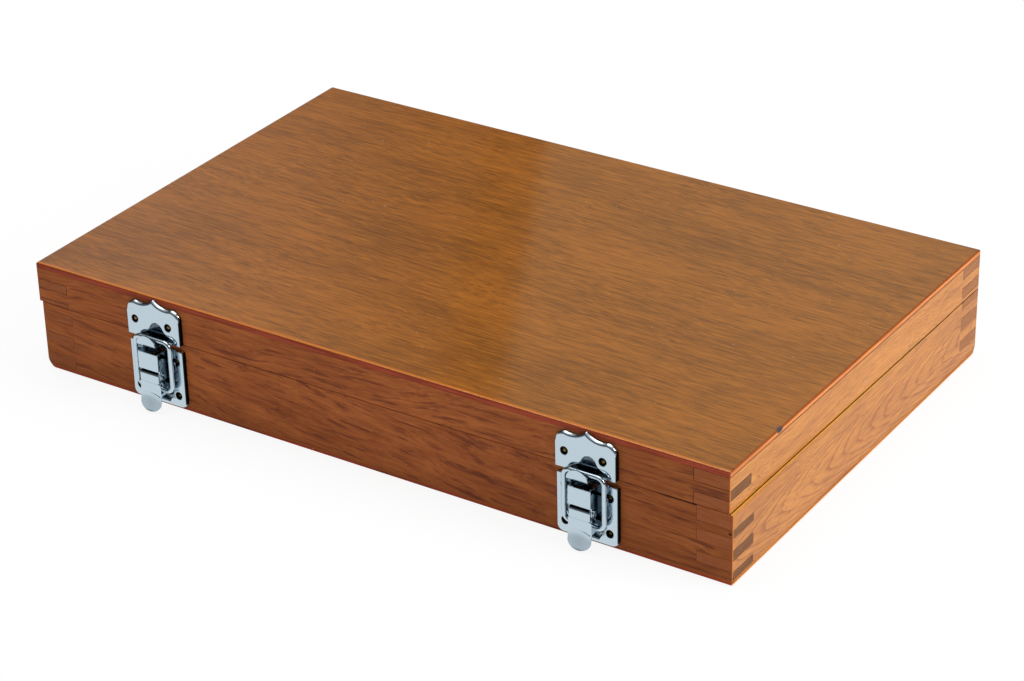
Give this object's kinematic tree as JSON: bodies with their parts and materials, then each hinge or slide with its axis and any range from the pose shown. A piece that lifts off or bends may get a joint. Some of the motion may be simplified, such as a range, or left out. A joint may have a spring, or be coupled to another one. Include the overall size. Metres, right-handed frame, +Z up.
{
  "type": "gauge block case",
  "caption": "Shallow varnished box-jointed wooden case with a hinged lid, chromed draw latches on the front and a slotted tray for gauge blocks inside.",
  "frame": {"origin": "middle of the case's flat underside, under the middle of the base", "axes": "+X to the right along the front, -Y to the front where the latches are, +Z up"},
  "size_m": [0.3408, 0.2297, 0.0504],
  "materials": {
    "front_wood": "dark red-brown wood under gloss varnish",
    "side_wood": "tan-orange wood under gloss varnish",
    "panel_wood": "orange-brown veneer under gloss varnish",
    "tray_wood": "lighter wood under satin varnish",
    "felt": "dark green felt",
    "latch_chrome": "bright chrome plate",
    "nail_brass": "dull brass",
    "hinge_brass": "satin brass"
  },
  "bodies": {
    "base": {"base_back_board": "front_wood", "base_bottom_panel": "panel_wood", "base_front_board": "front_wood", "base_left_board": "side_wood", "base_right_board": "side_wood", "left_hinge_base_leaf": "hinge_brass", "left_hinge_base_screws": "hinge_brass", "left_hinge_pin": "hinge_brass", "left_latch_base_nails": "nail_brass", "left_latch_base_plate": "latch_chrome", "left_latch_bracket": "latch_chrome", "left_latch_lever_pin": "latch_chrome", "right_hinge_base_leaf": "hinge_brass", "right_hinge_base_screws": "hinge_brass", "right_hinge_pin": "hinge_brass", "right_latch_base_nails": "nail_brass", "right_latch_base_plate": "latch_chrome", "right_latch_bracket": "latch_chrome", "right_latch_lever_pin": "latch_chrome", "tray_dividers_1": "tray_wood", "tray_dividers_2": "tray_wood", "tray_dividers_3": "tray_wood", "tray_dividers_4": "tray_wood", "tray_dividers_5": "tray_wood", "tray_dividers_6": "tray_wood", "tray_dividers_7": "tray_wood", "tray_dividers_8": "tray_wood", "tray_floor": "tray_wood", "tray_rail_1": "tray_wood", "tray_rail_2": "tray_wood", "tray_rail_3": "tray_wood", "tray_rail_4": "tray_wood", "tray_rail_5": "tray_wood", "tray_rail_6": "tray_wood", "tray_rail_7": "tray_wood", "tray_rail_8": "tray_wood", "tray_rail_9": "tray_wood"},
    "lid": {"left_hinge_lid_leaf": "hinge_brass", "left_hinge_lid_screws": "hinge_brass", "left_latch_strike_nails": "nail_brass", "left_latch_strike_plate": "latch_chrome", "lid_back_board": "front_wood", "lid_felt_pad": "felt", "lid_front_board": "front_wood", "lid_left_board": "side_wood", "lid_right_board": "side_wood", "lid_top_panel": "panel_wood", "right_hinge_lid_leaf": "hinge_brass", "right_hinge_lid_screws": "hinge_brass", "right_latch_strike_nails": "nail_brass", "right_latch_strike_plate": "latch_chrome"},
    "left_lever": {"left_latch_lever": "latch_chrome"},
    "left_loop": {"left_latch_loop": "latch_chrome"},
    "right_lever": {"right_latch_lever": "latch_chrome"},
    "right_loop": {"right_latch_loop": "latch_chrome"}
  },
  "joints": [
    {"name": "lid_hinge", "type": "hinge", "parent": "base", "child": "lid", "pos_m": [0, 0.11, 0.03188], "axis": [-1, 0, 0], "range_deg": [0, 105]},
    {"name": "left_lever_pivot", "type": "hinge", "parent": "base", "child": "left_lever", "pos_m": [-0.1063, -0.1127, 0.017], "axis": [-1, 0, 0], "range_deg": [0, 72]},
    {"name": "left_loop_pivot", "type": "hinge", "parent": "left_lever", "child": "left_loop", "pos_m": [-0.1063, -0.1117, 0.0099], "axis": [-1, 0, 0], "range_deg": [-51.5, 0]},
    {"name": "right_lever_pivot", "type": "hinge", "parent": "base", "child": "right_lever", "pos_m": [0.1063, -0.1127, 0.017], "axis": [-1, 0, 0], "range_deg": [0, 72]},
    {"name": "right_loop_pivot", "type": "hinge", "parent": "right_lever", "child": "right_loop", "pos_m": [0.1063, -0.1117, 0.0099], "axis": [-1, 0, 0], "range_deg": [-51.5, 0]}
  ],
  "couplings": [
    {"joint": "left_loop_pivot", "follows": "left_lever_pivot", "ratio": -0.715},
    {"joint": "right_loop_pivot", "follows": "right_lever_pivot", "ratio": -0.715}
  ]
}
